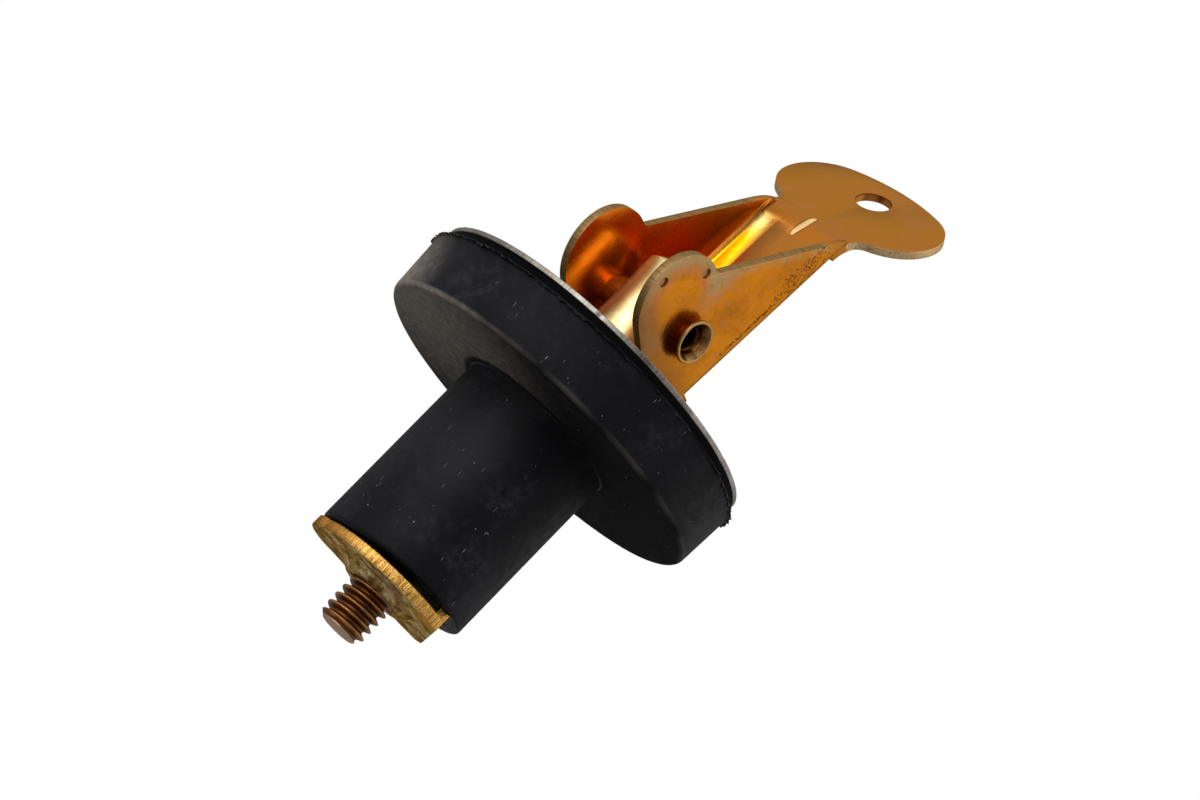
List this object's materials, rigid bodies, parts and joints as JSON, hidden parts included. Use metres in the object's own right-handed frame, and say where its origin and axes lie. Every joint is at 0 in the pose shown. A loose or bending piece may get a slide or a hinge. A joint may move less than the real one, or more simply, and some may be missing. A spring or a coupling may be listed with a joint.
{
  "type": "drain plug for boat",
  "caption": "Rubber drain plug with a flange, squeezed to seal by a brass cam lever on a threaded stud with a retaining nut plate.",
  "frame": {"origin": "centre of the flange's sealing face, on the stem's axis", "axes": "+Z along the plug's axis towards the lever; the lever turns about an axis parallel to Y; +X is the side the open lever faces and folds down to"},
  "size_m": [0.0494, 0.0492, 0.0929],
  "materials": {
    "black_rubber": "matt moulded rubber",
    "stainless": "rolled sheet",
    "stud_brass": "turned brass, dull",
    "lever_brass": "tarnished stamped sheet",
    "rivet_brass": "plated tube, worn",
    "nut_brass": "stamped, tarnished"
  },
  "bodies": {
    "plug": {"rubber_plug": "black_rubber", "cover_washer": "stainless"},
    "nut": {"retaining_nut": "nut_brass"},
    "stud": {"eye_stud": "stud_brass"},
    "lever": {"cam_lever": "lever_brass", "pivot_rivet": "rivet_brass"}
  },
  "joints": [
    {"name": "nut_lift", "type": "slide", "parent": "plug", "child": "nut", "axis": [0, 0, 1], "range_m": [0, 0.0027], "deforming": ["rubber_plug"]},
    {"name": "stud_turn", "type": "hinge", "parent": "nut", "child": "stud", "pos_m": [0, 0, 0], "axis": [0, 0, 1], "range_deg": [-180, 180]},
    {"name": "lever_hinge", "type": "hinge", "parent": "stud", "child": "lever", "pos_m": [0, 0, 0.02], "axis": [0, 1, 0], "range_deg": [0, 100]}
  ],
  "couplings": [
    {"joint": "nut_lift", "follows": "lever_hinge", "m_per_rad": 0.001546}
  ]
}
